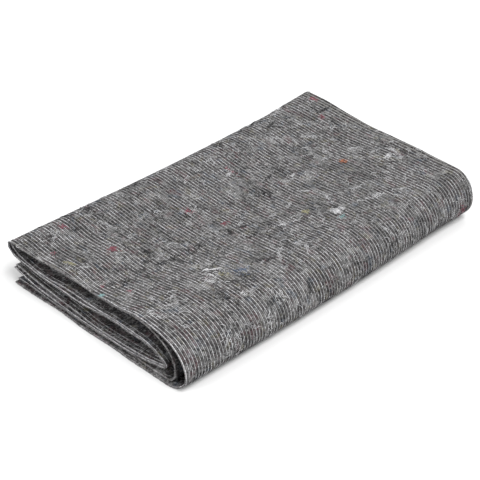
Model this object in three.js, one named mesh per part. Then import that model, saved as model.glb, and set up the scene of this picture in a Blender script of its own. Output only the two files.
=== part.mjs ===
// Moving blanket of stitch-bonded felt, folded to a quarter of its width and half of its length.
// Millimetres, +Z up, +Y along the folded length. The cut ends are at -Y, the half-fold crease at +Y.
import * as THREE from 'three';

// Driving dimensions
const FOLDED_LENGTH = 750;
const CLOTH = 3;
const CLOSED_GAP = 4;
const CREASE_GAP = 11;
const CREASE_REACH = 130;
const SWELL_REACH = 300;
const FAR_RISE_START = 0.35;
const FAR_SKEW_LEFT = 9;
const FAR_SKEW_RIGHT = -11;
const HALF_WIDTH = 225;
const RIGHT_BULGE = 7;
const RIGHT_BULGE_START = 100;
const FELT_GREY = 0x6e6d6c;
const FELT_ROUGHNESS = 0.95;

// Mesh steps
const TURN_STEP = 15;
const RUN_STEP = 45;
const LEG_STEPS = 9;
const CREASE_STEPS = 6;
const CURVE_PULL = 0.38;

// Section of the folded blanket seen from its cut end, x to the right and z up.
// Each row is a place on the line midway between the outer and the inner cloth, in order along it.
// x, z and heading in degrees hold at the cut end; drift and swell are the shifts of x and z once clear of it,
// spread and lift the further shifts at the crease end.
// hollow is the extra gap between the two cloths, outer and inner how far their cut edges are set back.
const FOLD_COLUMNS = [
  'place', 'x', 'z', 'heading', 'drift', 'swell', 'spread', 'lift', 'hollow', 'outer', 'inner',
];
const FOLD_ROWS = [
  ['lower free end', -212, 3.5, 0, 0, 0, 0, 0, 0, -2, 4],
  ['bottom right', 178, 3.5, 0, 0, 0, 0, 0, 0, -2, 4],
  ['right fold', 205, 28, 90, 0, 0, 16, 12, 25, 5, 7],
  ['top crest right', 113, 85.4, 177.5, 46, -8.5, 26, 10, 0, 6.5, 9],
  ['top dip', -17, 71.3, 180, 10, 0, 19, 18, 0, 12.5, 14],
  ['top slope', -111, 76.2, 175, 2, 1, 0, 16, 0, 6.5, 9],
  ['left ridge', -201, 81.8, 180, 10, 5, -14, 13, 0, -2, 3],
  ['left fold tip', -222, 72.5, 270, 2, -3, 4, 20.5, 0, -2, 3],
  ['left fold under', -218.5, 66.5, 322, 2, -3, 5, 16.5, 0, -2, 4],
  ['second run left', -168, 50.5, 352, 0, 0, 0, 14, 0, 3, 5],
  ['second run', -60, 46.8, 358, 0, 0, 0, 11, 0, 4, 6],
  ['second run right', 80, 51, 360, 0, 0, 0, 7, 0, 5, 6],
  ['inner fold over', 167.2, 30.7, 318, 0, 0, -8, 17, 0, 6, 6],
  ['inner fold tip', 168.9, 27, 270, 0, 0, -5.6, 13, 0, 6, 6],
  ['inner fold under', 164.9, 22.1, 192, 0, 0, -11, 6, 0, 6, 5],
  ['third run right', 110, 14.6, 186, 0, 0, 0, 12, 0, 5, 4],
  ['third run', 20, 11.6, 180, 0, 0, 0, 14, 0, 5, 1],
  ['third run left', -110, 19, 172, 0, 0, 0, 12, 0, 4, 0],
  ['upper free end', -213, 33, 168, 0, 0, 0, 8, 0, 4, 0],
];
const FOLD_LINE = FOLD_ROWS.map((row) => Object.fromEntries(FOLD_COLUMNS.map((name, at) => [name, row[at]])));

function smoothstep(start, end, value) {
  const part = THREE.MathUtils.clamp((value - start) / (end - start), 0, 1);
  return part * part * (3 - 2 * part);
}

// Share of the far-end rise at a place y along the blanket, which curls up more and more towards the crease
function farRise(y) {
  const part = THREE.MathUtils.clamp((y / FOLDED_LENGTH - FAR_RISE_START) / (1 - FAR_RISE_START), 0, 1);
  return part * part;
}

// Share of the puffed crease at a place y along the blanket
function creasePuff(y) {
  return smoothstep(FOLDED_LENGTH - CREASE_REACH, FOLDED_LENGTH, y);
}

// One row of the section moved to where it lies at y
function rowAt(row, y) {
  const clear = smoothstep(0, SWELL_REACH, y);
  const rise = farRise(y);
  const bulge = RIGHT_BULGE * Math.sin(Math.PI * THREE.MathUtils.clamp(y / FOLDED_LENGTH, 0, 1));
  return {
    x: row.x + row.drift * clear + row.spread * rise
      + bulge * smoothstep(RIGHT_BULGE_START, HALF_WIDTH, row.x),
    z: row.z + row.swell * clear + row.lift * rise,
    gap: CLOSED_GAP + row.hollow * (1 - rise) + (CREASE_GAP - CLOSED_GAP) * creasePuff(y),
  };
}

// Places along the section: which pair of rows, and how far between them
function sectionSteps() {
  const steps = [];
  for (let index = 0; index < FOLD_LINE.length - 1; index++) {
    const from = FOLD_LINE[index];
    const to = FOLD_LINE[index + 1];
    const run = Math.hypot(to.x - from.x, to.z - from.z);
    const turn = Math.abs(to.heading - from.heading);
    const count = Math.max(2, Math.ceil(turn / TURN_STEP), Math.ceil(run / RUN_STEP));
    for (let step = 0; step < count; step++) {
      steps.push({ index, part: step / count });
    }
  }
  steps.push({ index: FOLD_LINE.length - 2, part: 1 });
  return steps;
}

// Point on the section at y, with the direction square to it that points from the outer to the inner cloth
function sectionPoint(step, y) {
  const from = FOLD_LINE[step.index];
  const to = FOLD_LINE[step.index + 1];
  const start = rowAt(from, y);
  const end = rowAt(to, y);
  const pull = CURVE_PULL * Math.hypot(end.x - start.x, end.z - start.z);
  const leave = THREE.MathUtils.degToRad(from.heading);
  const arrive = THREE.MathUtils.degToRad(to.heading);
  const curve = new THREE.CubicBezierCurve(
    new THREE.Vector2(start.x, start.z),
    new THREE.Vector2(start.x + pull * Math.cos(leave), start.z + pull * Math.sin(leave)),
    new THREE.Vector2(end.x - pull * Math.cos(arrive), end.z - pull * Math.sin(arrive)),
    new THREE.Vector2(end.x, end.z),
  );
  const tangent = curve.getTangent(step.part);
  const blend = smoothstep(0, 1, step.part);
  return {
    point: curve.getPoint(step.part),
    inward: new THREE.Vector2(-tangent.y, tangent.x),
    gap: THREE.MathUtils.lerp(start.gap, end.gap, blend),
    outer: THREE.MathUtils.lerp(from.outer, to.outer, blend),
    inner: THREE.MathUtils.lerp(from.inner, to.inner, blend),
  };
}

// Where the crease lies: the far end is a little askew
function creaseEnd(x) {
  const across = THREE.MathUtils.clamp((x + HALF_WIDTH) / (2 * HALF_WIDTH), 0, 1);
  return FOLDED_LENGTH + THREE.MathUtils.lerp(FAR_SKEW_LEFT, FAR_SKEW_RIGHT, across);
}

// Middle surface of the cloth: offset across the gap from -1, outer, to 1, inner, at y.
// What would reach below the floor lies flat on it.
function clothPoint(step, y, offset) {
  const section = sectionPoint(step, y);
  const shift = (offset * section.gap) / 2;
  const x = section.point.x + shift * section.inward.x;
  const z = section.point.y + shift * section.inward.y;
  return new THREE.Vector3(x, y, Math.max(z, CLOTH / 2));
}

// Line of middle-surface points across the blanket: outer cloth to the crease, round it, inner cloth back
function crossLine(step) {
  const near = sectionPoint(step, 0);
  const far = sectionPoint(step, FOLDED_LENGTH);
  const nose = far.gap / 2;
  const turn = creaseEnd(far.point.x) - nose - CLOTH / 2;
  const points = [];
  for (let leg = 0; leg < LEG_STEPS; leg++) {
    const y = THREE.MathUtils.lerp(near.outer, turn, Math.sin((leg / LEG_STEPS) * Math.PI / 2));
    points.push(clothPoint(step, y, -1));
  }
  for (let arc = 0; arc <= CREASE_STEPS; arc++) {
    const angle = (arc / CREASE_STEPS) * Math.PI;
    const around = clothPoint(step, turn, -Math.cos(angle));
    around.y += nose * Math.sin(angle);
    points.push(around);
  }
  for (let leg = LEG_STEPS - 1; leg >= 0; leg--) {
    const y = THREE.MathUtils.lerp(near.inner, turn, Math.sin((leg / LEG_STEPS) * Math.PI / 2));
    points.push(clothPoint(step, y, 1));
  }
  return points;
}

// Direction square to the middle surface at a grid point, from the seen face to the hidden face
function surfaceNormal(grid, row, column) {
  const lastRow = grid.length - 1;
  const lastColumn = grid[0].length - 1;
  const along = new THREE.Vector3().subVectors(
    grid[Math.min(row + 1, lastRow)][column],
    grid[Math.max(row - 1, 0)][column],
  );
  const across = new THREE.Vector3().subVectors(
    grid[row][Math.min(column + 1, lastColumn)],
    grid[row][Math.max(column - 1, 0)],
  );
  return along.cross(across).normalize();
}

// Closed solid of even thickness about a grid of middle-surface points
function sheetGeometry(grid, thickness) {
  const rows = grid.length;
  const columns = grid[0].length;
  const positions = [];
  for (const side of [-0.5, 0.5]) {
    for (let row = 0; row < rows; row++) {
      for (let column = 0; column < columns; column++) {
        const normal = surfaceNormal(grid, row, column);
        const point = grid[row][column].clone().addScaledVector(normal, side * thickness);
        positions.push(point.x, point.y, point.z);
      }
    }
  }
  const hidden = rows * columns;
  const seenAt = (row, column) => row * columns + column;
  const triangles = [];
  const quad = (a, b, c, d) => triangles.push(a, b, c, a, c, d);
  for (let row = 0; row < rows - 1; row++) {
    for (let column = 0; column < columns - 1; column++) {
      const corners = [
        seenAt(row, column),
        seenAt(row, column + 1),
        seenAt(row + 1, column + 1),
        seenAt(row + 1, column),
      ];
      // Facing cloths share the run of their diagonals, so they keep an even gap
      if (column >= columns / 2) corners.push(corners.shift());
      const [a, b, c, d] = corners;
      quad(a, b, c, d);
      quad(a + hidden, d + hidden, c + hidden, b + hidden);
    }
  }
  const rim = [];
  for (let column = 0; column < columns - 1; column++) rim.push(seenAt(0, column));
  for (let row = 0; row < rows - 1; row++) rim.push(seenAt(row, columns - 1));
  for (let column = columns - 1; column > 0; column--) rim.push(seenAt(rows - 1, column));
  for (let row = rows - 1; row > 0; row--) rim.push(seenAt(row, 0));
  rim.forEach((corner, place) => {
    const next = rim[(place + 1) % rim.length];
    quad(next, corner, corner + hidden, next + hidden);
  });
  const geometry = new THREE.BufferGeometry();
  geometry.setAttribute('position', new THREE.Float32BufferAttribute(positions, 3));
  geometry.setIndex(triangles);
  geometry.computeVertexNormals();
  return geometry;
}

// The blanket, with its origin under the middle of its box
function makeBlanket() {
  const geometry = sheetGeometry(sectionSteps().map(crossLine), CLOTH);
  geometry.computeBoundingBox();
  const middle = geometry.boundingBox.getCenter(new THREE.Vector3());
  geometry.translate(-middle.x, -middle.y, -geometry.boundingBox.min.z);
  const felt = new THREE.MeshStandardMaterial({ color: FELT_GREY, roughness: FELT_ROUGHNESS, metalness: 0 });
  const blanket = new THREE.Mesh(geometry, felt);
  blanket.name = 'blanket';
  return blanket;
}

const group = new THREE.Group();
group.add(makeBlanket());

export default group;
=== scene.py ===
"""Looks of a folded moving blanket of stitch-bonded felt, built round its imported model."""

import logging
from dataclasses import dataclass, field
from enum import Enum

import bpy
import numpy as np
from mathutils import Matrix, Vector


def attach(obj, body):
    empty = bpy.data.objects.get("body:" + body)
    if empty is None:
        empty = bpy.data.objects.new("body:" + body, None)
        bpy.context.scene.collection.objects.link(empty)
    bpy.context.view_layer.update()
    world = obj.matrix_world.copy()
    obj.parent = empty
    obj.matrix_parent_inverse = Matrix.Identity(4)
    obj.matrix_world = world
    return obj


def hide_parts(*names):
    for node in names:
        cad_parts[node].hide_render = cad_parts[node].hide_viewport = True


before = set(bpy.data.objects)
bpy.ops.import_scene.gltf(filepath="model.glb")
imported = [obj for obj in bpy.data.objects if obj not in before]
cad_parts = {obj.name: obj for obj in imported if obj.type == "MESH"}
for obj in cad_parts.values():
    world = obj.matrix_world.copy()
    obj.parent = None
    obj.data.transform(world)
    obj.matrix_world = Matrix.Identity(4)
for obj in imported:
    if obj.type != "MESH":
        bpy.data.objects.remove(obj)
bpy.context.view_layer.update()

LOG = logging.getLogger("folded_blanket")
MM = 0.001
UV_NAME = "cloth"
UP_NAME = "up"
LAY_NAME = "lay"
SHADE_NAME = "shade"
TINY = 1e-12
# Distance between stitch rows at the cut end in millimetres, and its growth from row to row
ROW_PITCH = 6.44
ROW_GROWTH = 0.00107

Spans = tuple[tuple[float, float], ...]
Sockets = dict[str, bpy.types.NodeSocket]


class Cloth(Enum):
    """The two cloths that lie together, by their side of the line midway between them."""

    OUTER = -1.0
    INNER = 1.0


class FeltFace(Enum):
    """Kinds of face on the felt sheet, by their place among its materials."""

    ROWS = 0
    CUT = 1
    INSIDE = 2


class FibreColour(Enum):
    """Dyes of the torn rags in the felt, as sRGB hex."""

    RED = "84505a"
    ORANGE = "ac6b4a"
    YELLOW = "9f9b7c"
    CYAN = "7b9a9b"
    BLUE = "616c7f"
    WHITE = "ceced0"
    BLACK = "2a2a2b"


@dataclass(frozen=True)
class FoldRow:
    """One place on the folded section, in millimetres and degrees, as in the part's source.

    x, z and heading hold at the cut end. drift and swell are added behind it, and spread and lift towards the
    far end. hollow widens the gap between the cloths, less towards the far end, and outer and inner are how
    far back the cut edges of the two cloths lie.
    """

    place: str
    x: float
    z: float
    heading: float
    drift: float
    swell: float
    spread: float
    lift: float
    hollow: float
    outer: float
    inner: float


FOLD_ROWS = (
    FoldRow("lower free end", -212, 3.5, 0, 0, 0, 0, 0, 0, -2, 4),
    FoldRow("bottom right", 178, 3.5, 0, 0, 0, 0, 0, 0, -2, 4),
    FoldRow("right fold", 205, 28, 90, 0, 0, 16, 12, 25, 5, 7),
    FoldRow("top crest right", 113, 85.4, 177.5, 46, -8.5, 26, 10, 0, 6.5, 9),
    FoldRow("top dip", -17, 71.3, 180, 10, 0, 19, 18, 0, 12.5, 14),
    FoldRow("top slope", -111, 76.2, 175, 2, 1, 0, 16, 0, 6.5, 9),
    FoldRow("left ridge", -201, 81.8, 180, 10, 5, -14, 13, 0, -2, 3),
    FoldRow("left fold tip", -222, 72.5, 270, 2, -3, 4, 20.5, 0, -2, 3),
    FoldRow("left fold under", -218.5, 66.5, 322, 2, -3, 5, 16.5, 0, -2, 4),
    FoldRow("second run left", -168, 50.5, 352, 0, 0, 0, 14, 0, 3, 5),
    FoldRow("second run", -60, 46.8, 358, 0, 0, 0, 11, 0, 4, 6),
    FoldRow("second run right", 80, 51, 360, 0, 0, 0, 7, 0, 5, 6),
    FoldRow("inner fold over", 167.2, 30.7, 318, 0, 0, -8, 17, 0, 6, 6),
    FoldRow("inner fold tip", 168.9, 27, 270, 0, 0, -5.6, 13, 0, 6, 6),
    FoldRow("inner fold under", 164.9, 22.1, 192, 0, 0, -11, 6, 0, 6, 5),
    FoldRow("third run right", 110, 14.6, 186, 0, 0, 0, 12, 0, 5, 4),
    FoldRow("third run", 20, 11.6, 180, 0, 0, 0, 14, 0, 5, 1),
    FoldRow("third run left", -110, 19, 172, 0, 0, 0, 12, 0, 4, 0),
    FoldRow("upper free end", -213, 33, 168, 0, 0, 0, 8, 0, 4, 0),
)
# Places along the section, each a row's number in the table plus the share of the way to the next
BOTTOM_RIGHT, RIGHT_UNDER, RIGHT_FOLD, TOP_RIGHT, LEFT_RIDGE = 1.0, 1.5, 2.0, 3.0, 6.0
SECOND_LEFT, INNER_FOLD, THIRD_LEFT, FREE_END = 9.0, 13.9, 17.0, 18.0


@dataclass(frozen=True)
class Crease:
    """A soft trough or ridge in the top of the blanket, by where it lies in millimetres.

    rise is above the cloth for a ridge and below it for a trough, and width is that of its flank.
    """

    start: tuple[float, float]
    end: tuple[float, float]
    width: float
    rise: float


CREASES = (
    Crease((62, 20), (70, 190), 26, -2.2),
    Crease((26, 120), (24, 250), 13, -1.7),
    Crease((70, 190), (40, 330), 30, -1.2),
    Crease((-70, -20), (-66, 120), 45, 3.0),
    Crease((-142, -20), (-138, 110), 45, -3.0),
    Crease((150, 330), (118, 420), 12, -1.6),
    Crease((140, 350), (170, 500), 30, 1.5),
)


def smoothstep(start: float, end: float, value: np.ndarray | float) -> np.ndarray:
    """Ease values from 0 at the start to 1 at the end."""
    part = np.clip((np.asarray(value, float) - start) / (end - start), 0.0, 1.0)
    return part * part * (3.0 - 2.0 * part)


def row_place(number: np.ndarray | float) -> np.ndarray:
    """Distance of stitch rows from the cut edge in millimetres, which lie wider towards the crease."""
    return ROW_PITCH * np.expm1(ROW_GROWTH * np.asarray(number)) / ROW_GROWTH


def row_number(over: np.ndarray | float) -> np.ndarray:
    """Number of the stitch row at distances from the cut edge, counted on between the rows."""
    return np.log1p(ROW_GROWTH * np.asarray(over) / ROW_PITCH) / ROW_GROWTH


def linear(colour: str) -> tuple[float, float, float, float]:
    """Turn an sRGB hex colour to linear light.

    Args:
        colour: Six hex digits.

    Returns:
        Red, green, blue and an alpha of 1.
    """
    parts = [int(colour[at:at + 2], 16) / 255.0 for at in (0, 2, 4)]
    light = [part / 12.92 if part <= 0.04045 else ((part + 0.055) / 1.055) ** 2.4 for part in parts]
    return (*light, 1.0)


def add_node(
    tree: bpy.types.NodeTree,
    kind: str,
    inputs: dict[str | int, object] | None = None,
    **settings: object,
) -> bpy.types.Node:
    """Add a node to a tree, with its settings and links.

    Args:
        tree: Tree that takes the node.
        kind: Blender's type name of the node.
        inputs: Inputs by name or place. A socket, or each of a list of them, is linked, and anything else
            is set as the value.
        **settings: Properties of the node.

    Returns:
        The new node.
    """
    new = tree.nodes.new(kind)
    for name, value in settings.items():
        setattr(new, name, value)
    for key, value in (inputs or {}).items():
        if isinstance(value, (bpy.types.NodeSocket, list)):
            for socket in value if isinstance(value, list) else [value]:
                tree.links.new(socket, new.inputs[key])
        else:
            new.inputs[key].default_value = value
    return new


@dataclass(frozen=True)
class FoldedSection:
    """The folded section of the blanket, with the sizes of the part's source in millimetres."""

    length: float = 750.0
    cloth: float = 3.0
    closed_gap: float = 4.0
    crease_gap: float = 11.0
    crease_reach: float = 130.0
    swell_reach: float = 300.0
    far_rise_start: float = 0.35
    far_skew_left: float = 9.0
    far_skew_right: float = -11.0
    half_width: float = 225.0
    right_bulge: float = 7.0
    right_bulge_start: float = 100.0
    curve_pull: float = 0.38
    rows: tuple[FoldRow, ...] = FOLD_ROWS

    def column(self, name: str) -> np.ndarray:
        """One column of the fold table as an array."""
        return np.array([getattr(row, name) for row in self.rows], float)

    def stations(self, turn_step: float, run_step: float, inside_step: float) -> np.ndarray:
        """Places along the whole section, as a row's number plus the share of the way to the next.

        Args:
            turn_step: Largest turn between places, in degrees.
            run_step: Largest distance between places in open air, in millimetres.
            inside_step: Largest distance between places inside the folds, in millimetres.

        Returns:
            The places in order.
        """
        x, z, heading = (self.column(name) for name in ("x", "z", "heading"))
        places = []
        for index in range(len(self.rows) - 1):
            run = np.hypot(x[index + 1] - x[index], z[index + 1] - z[index])
            turn = abs(heading[index + 1] - heading[index])
            step = run_step if BOTTOM_RIGHT <= index < SECOND_LEFT else inside_step
            count = int(max(2, np.ceil(turn / turn_step), np.ceil(run / step)))
            places.append(index + np.arange(count) / count)
        places.append([len(self.rows) - 1.0])
        return np.concatenate(places)

    def split(self, stations: np.ndarray) -> tuple[np.ndarray, np.ndarray]:
        """Row numbers of places along the section, and the share of the way to the next row."""
        first = np.minimum(stations.astype(int), len(self.rows) - 2)
        return first, stations - first

    def set_back(self, stations: np.ndarray, cloth: Cloth) -> np.ndarray:
        """How far a cloth's cut edge is set back.

        Args:
            stations: Places along the section.
            cloth: Which of the two cloths.

        Returns:
            The distance at each place, in millimetres.
        """
        first, part = self.split(stations)
        edge = self.column("outer" if cloth is Cloth.OUTER else "inner")
        return edge[first] + (edge[first + 1] - edge[first]) * smoothstep(0, 1, part)

    def line(self, stations: np.ndarray, y: np.ndarray) -> tuple[np.ndarray, np.ndarray, np.ndarray]:
        """Points midway between the cloths.

        Args:
            stations: Places along the section, n of them.
            y: Distance from the cut end, n by m.

        Returns:
            Points and inward directions as complex x + iz, and the gap between the cloths, n by m.
        """
        first, part = self.split(stations)
        part = part[:, None]
        clear = smoothstep(0, self.swell_reach, y)
        rise = np.clip((y / self.length - self.far_rise_start) / (1 - self.far_rise_start), 0, 1) ** 2
        puff = smoothstep(self.length - self.crease_reach, self.length, y)
        bulge = self.right_bulge * np.sin(np.pi * np.clip(y / self.length, 0, 1))
        names = ("x", "z", "drift", "swell", "spread", "lift", "hollow")
        column = {name: self.column(name)[:, None] for name in names}
        right = smoothstep(self.right_bulge_start, self.half_width, column["x"])

        def moved(at: np.ndarray) -> tuple[np.ndarray, np.ndarray]:
            """Move rows of the table to where they lie at y.

            Args:
                at: Numbers of the rows.

            Returns:
                Their places as complex x + iz, and their gaps.
            """
            x = column["x"][at] + column["drift"][at] * clear + column["spread"][at] * rise
            x = x + bulge * right[at]
            z = column["z"][at] + column["swell"][at] * clear + column["lift"][at] * rise
            gap = self.closed_gap + column["hollow"][at] * (1 - rise)
            return x + 1j * z, gap + (self.crease_gap - self.closed_gap) * puff

        heading = np.exp(1j * np.radians(self.column("heading")))[:, None]
        start, start_gap = moved(first)
        end, end_gap = moved(first + 1)
        pull = self.curve_pull * np.abs(end - start)
        leave = start + pull * heading[first]
        arrive = end - pull * heading[first + 1]
        rest = 1 - part
        point = rest**3 * start + 3 * rest**2 * part * leave + 3 * rest * part**2 * arrive + part**3 * end
        along = rest**2 * (leave - start) + 2 * rest * part * (arrive - leave) + part**2 * (end - arrive)
        gap = start_gap + (end_gap - start_gap) * smoothstep(0, 1, part)
        return point, 1j * along / np.abs(along), gap

    def turn(self, stations: np.ndarray) -> tuple[np.ndarray, np.ndarray]:
        """Where the half-fold crease turns.

        Args:
            stations: Places along the section.

        Returns:
            Distance over the cloth at which the turn starts at each place, and its radius, in millimetres.
        """
        point, _, gap = self.line(stations, np.full((len(stations), 1), self.length))
        across = np.clip((point.real[:, 0] + self.half_width) / (2 * self.half_width), 0, 1)
        skew = self.far_skew_left + (self.far_skew_right - self.far_skew_left) * across
        nose = gap[:, 0] / 2
        return self.length + skew - nose - self.cloth / 2, nose


@dataclass
class BlanketShape:
    """The shaped cloth: the folded section with its soft creases and uneven cut edges.

    A point of the sheet is given by its place along the section and by its distance over the cloth from
    the cut end of the outer cloth: along the outer cloth, round the half-fold crease and back in the inner.
    Sizes are in millimetres.
    """

    section: FoldedSection = field(default_factory=FoldedSection)
    creases: tuple[Crease, ...] = CREASES
    # From the fold table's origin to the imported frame's, across and along
    shift: tuple[float, float] = (-1.282, -378.288)
    ripple_sizes: tuple[float, ...] = (55.0, 80.0, 120.0, 170.0, 240.0)
    # Rise of a ripple of ripple_length: longer ones rise more and shorter ones less
    ripple_rise: float = 0.4
    ripple_length: float = 120.0
    ridge_fade: float = 0.5
    ragged_sizes: tuple[float, ...] = (19.0, 31.0, 70.0)
    ragged_depth: float = 0.12
    furrow: float = 0.6
    wander_sizes: tuple[float, ...] = (130.0, 210.0, 370.0)
    wander_width: float = 0.7
    wander_slant: float = 0.5
    # Steps along the section and over the cloth that its slope is read from
    slope_steps: tuple[float, float] = (0.002, 0.5)
    ruler_steps: int = 9000
    seed: int = 7

    def relief(self, stations: np.ndarray, x: np.ndarray, y: np.ndarray) -> np.ndarray:
        """Height of the creases and ripples of the top run above its plain fold.

        Args:
            stations: Places along the section, n of them.
            x: Where they lie across, n by m.
            y: Where they lie along, n by m.

        Returns:
            The height in millimetres, n by m.
        """
        height = np.zeros(np.broadcast(x, y).shape)
        for crease in self.creases:
            start = complex(*crease.start)
            way = complex(*crease.end) - start
            spot = (x + 1j * y - start) / way
            past = np.maximum(np.maximum(-spot.real, spot.real - 1), 0) * abs(way)
            aside = spot.imag * abs(way)
            height += crease.rise * np.exp(-2 * (past**2 + aside**2) / crease.width**2)
        random = np.random.default_rng(self.seed)
        for size in self.ripple_sizes:
            bearing, phase = random.uniform(0, 2 * np.pi, 2)
            wave = (x * np.cos(bearing) + y * np.sin(bearing)) / size
            rise = self.ripple_rise * np.sqrt(size / self.ripple_length)
            height += rise * np.sin(2 * np.pi * wave + phase)
        left = smoothstep(LEFT_RIDGE - self.ridge_fade, LEFT_RIDGE, stations)
        top = smoothstep(RIGHT_FOLD, TOP_RIGHT, stations) * (1 - left)
        return height * top[:, None]

    def ruler(self) -> tuple[np.ndarray, np.ndarray]:
        """Measure the section halfway along the blanket.

        Returns:
            Close places along it, and the distance to each in millimetres.
        """
        fine = np.linspace(0.0, FREE_END, self.ruler_steps)
        point, _, _ = self.section.line(fine, np.full((len(fine), 1), self.section.length / 2))
        return fine, np.concatenate([[0.0], np.cumsum(np.abs(np.diff(point[:, 0])))])

    def path(self, stations: np.ndarray | float) -> np.ndarray:
        """Distance along the section to each place, in millimetres."""
        return np.interp(stations, *self.ruler())

    def stations_at(self, along: np.ndarray) -> np.ndarray:
        """Places along the section by the distance to them, in millimetres."""
        fine, reach = self.ruler()
        return np.interp(along, reach, fine)

    def edges(self, stations: np.ndarray) -> tuple[np.ndarray, np.ndarray]:
        """Where the sheet's two uneven cut edges lie.

        Args:
            stations: Places along the section.

        Returns:
            Distances over the cloth at which the sheet starts and ends at each place, in millimetres.
        """
        turn, nose = self.section.turn(stations)
        random = np.random.default_rng(self.seed + 1)
        along = self.path(stations)
        cuts = []
        for cloth in Cloth:
            ragged = np.zeros(len(stations))
            for size in self.ragged_sizes:
                ragged += np.sin(2 * np.pi * along / size + random.uniform(0, 2 * np.pi))
            cuts.append(self.section.set_back(stations, cloth) + self.ragged_depth * ragged)
        return cuts[0], 2 * turn + np.pi * nose - cuts[1]

    def wander(self, stations: np.ndarray, over: np.ndarray) -> np.ndarray:
        """How far the cloth and its rows lie askew.

        Args:
            stations: Places along the section, n of them.
            over: Distances over the cloth, n by m, in millimetres.

        Returns:
            The distance over the cloth, n by m, in millimetres.
        """
        random = np.random.default_rng(self.seed + 2)
        along = self.path(stations)[:, None]
        askew = np.zeros(over.shape)
        for size in self.wander_sizes:
            slant, phase = random.uniform([-self.wander_slant, 0], [self.wander_slant, 2 * np.pi])
            askew += np.sin(2 * np.pi * (along + slant * over) / size + phase)
        return self.wander_width * askew

    def place(self, stations: np.ndarray, over: np.ndarray, lift: float = 0.0) -> np.ndarray:
        """Points of the sheet.

        Args:
            stations: Places along the section, n of them.
            over: Distances over the cloth, n by m, in millimetres.
            lift: Height above the middle of the cloth on its seen side, in millimetres.

        Returns:
            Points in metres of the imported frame, n by m by 3.
        """
        turn, nose = (value[:, None] for value in self.section.turn(stations))
        over = over + self.wander(stations, over)
        angle = np.clip((over - turn) / nose, 0, np.pi)
        y = turn - np.maximum(turn - over, 0) - np.maximum(over - turn - np.pi * nose, 0)
        point, inward, gap = self.section.line(stations, y)
        spot = point - np.cos(angle) * gap / 2 * inward
        spot = spot.real + 1j * np.maximum(spot.imag, self.section.cloth / 2)
        spot = spot - (lift * np.cos(angle) + self.relief(stations, point.real, y)) * inward
        points = np.stack([spot.real, y + (nose + lift) * np.sin(angle), spot.imag], axis=-1)
        return (points + np.array([*self.shift, 0.0])) * MM

    def face(self, stations: np.ndarray, over: np.ndarray, lift: float) -> tuple[np.ndarray, np.ndarray]:
        """Points on a face of the sheet, with the directions out of it.

        Args:
            stations: Places along the section, n of them.
            over: Distances over the cloth, n by m, in millimetres.
            lift: Height above the middle of the cloth, below zero on its hidden side.

        Returns:
            Points in metres and unit directions, n by m by 3 each.
        """
        points = self.place(stations, over, lift)
        ahead, aside = self.slope_steps
        along = self.place(stations + ahead, over) - self.place(stations - ahead, over)
        across = self.place(stations, over + aside) - self.place(stations, over - aside)
        up = np.cross(across, along) * np.sign(lift)
        return points, up / np.maximum(np.linalg.norm(up, axis=-1, keepdims=True), TINY)


@dataclass(frozen=True)
class Mottle:
    """Spots of one colour in the felt, by their size along and across the stitch rows in millimetres.

    low and high are where in the noise a spot starts and is full, share is how far it then covers what is
    under it, and curl is how much its outline swirls.
    """

    colour: str
    along: float
    across: float
    low: float
    high: float
    share: float
    curl: float = 0.0


# Shift of the noise for each millimetre of a spot's size, so that kinds of the same size coincide
MOTTLE_START = (1.37, 2.41, 0.73)
# Patches of the torn rags: fibres of one shade lie together, over the felt and the threads alike
PATCH_MOTTLES = (
    Mottle("242425", 52, 44, 0.48, 0.62, 0.60, 0.8),
    Mottle("9a9a9a", 36, 30, 0.52, 0.66, 0.45, 0.8),
    Mottle("633b41", 24, 18, 0.55, 0.68, 0.35, 0.5),
    Mottle("384d61", 21, 17, 0.57, 0.70, 0.35, 0.5),
    Mottle("615c41", 19, 15, 0.57, 0.70, 0.40, 0.5),
    Mottle("1f1f20", 15, 11, 0.53, 0.62, 0.70, 1.6),
    Mottle("b0b0b0", 16, 11, 0.56, 0.66, 0.50, 1.6),
    Mottle("1c1c1d", 8, 6, 0.58, 0.64, 0.80, 1.6),
)
# The dark and the dyed of these patches cover the threads too, thinly where they are dyed
TANGLE_MOTTLES = (
    Mottle("2b2b2c", 52, 44, 0.48, 0.62, 0.45, 0.8),
    Mottle("7d5c60", 24, 18, 0.55, 0.68, 0.25, 0.5),
    Mottle("5c7286", 21, 17, 0.57, 0.70, 0.30, 0.5),
    Mottle("807b5c", 19, 15, 0.57, 0.70, 0.35, 0.5),
    Mottle("2d2d2e", 15, 11, 0.52, 0.61, 0.60, 1.6),
    Mottle("282829", 8, 6, 0.57, 0.63, 0.65, 1.6),
)
# Clumps and single fibres of the felt, which lie across the stitch rows.
# Single fibres are far too fine to show, so the finest spots are drawn about a hundred times as wide.
FIBRE_MOTTLES = (
    Mottle("262627", 6.0, 10, 0.50, 0.66, 0.60, 1.2),
    Mottle("727272", 4.0, 9, 0.52, 0.68, 0.60, 1.2),
    Mottle("232324", 2.2, 5.0, 0.52, 0.66, 0.70, 0.6),
    Mottle("8a8a89", 2.0, 5.0, 0.55, 0.68, 0.60, 0.6),
)


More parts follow.
